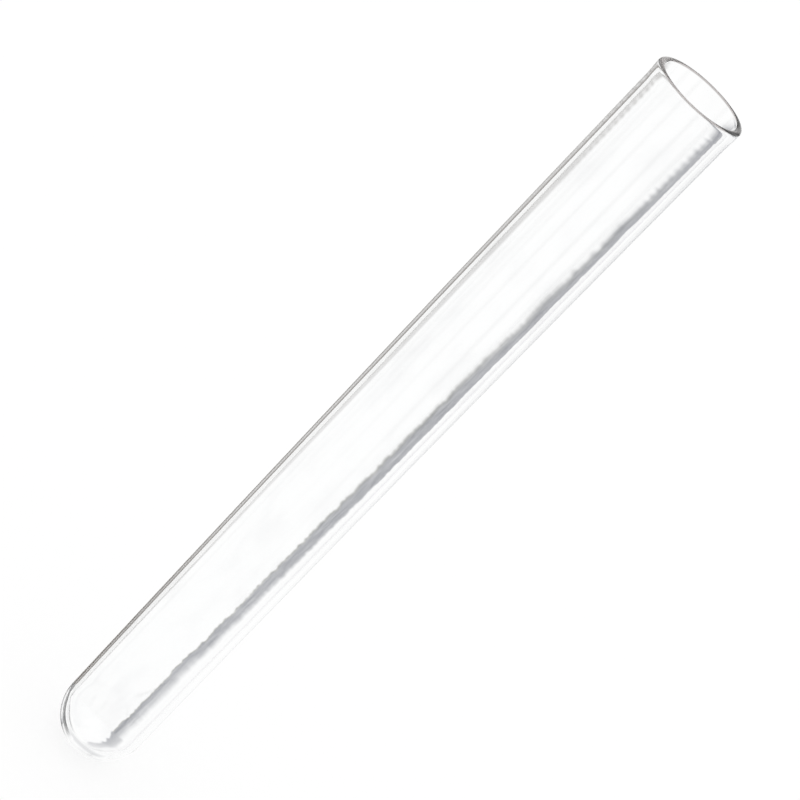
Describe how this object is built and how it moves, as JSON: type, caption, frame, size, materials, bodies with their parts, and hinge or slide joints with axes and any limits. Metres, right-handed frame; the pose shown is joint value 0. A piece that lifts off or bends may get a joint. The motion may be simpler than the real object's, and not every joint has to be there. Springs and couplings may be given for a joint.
{
  "type": "test tube",
  "caption": "Clear round-bottom rimless glass test tube with a melted mouth, for holding a small sample in a rack or a clamp.",
  "frame": {"origin": "lowest point of the round bottom, on the tube's axis", "axes": "+Z along the tube's axis, from the round bottom towards the mouth; X and Y are alike"},
  "size_m": [0.0162, 0.0162, 0.16],
  "materials": {
    "glass": "clear polished"
  },
  "bodies": {
    "root": {"glass_tube": "glass"}
  },
  "joints": []
}
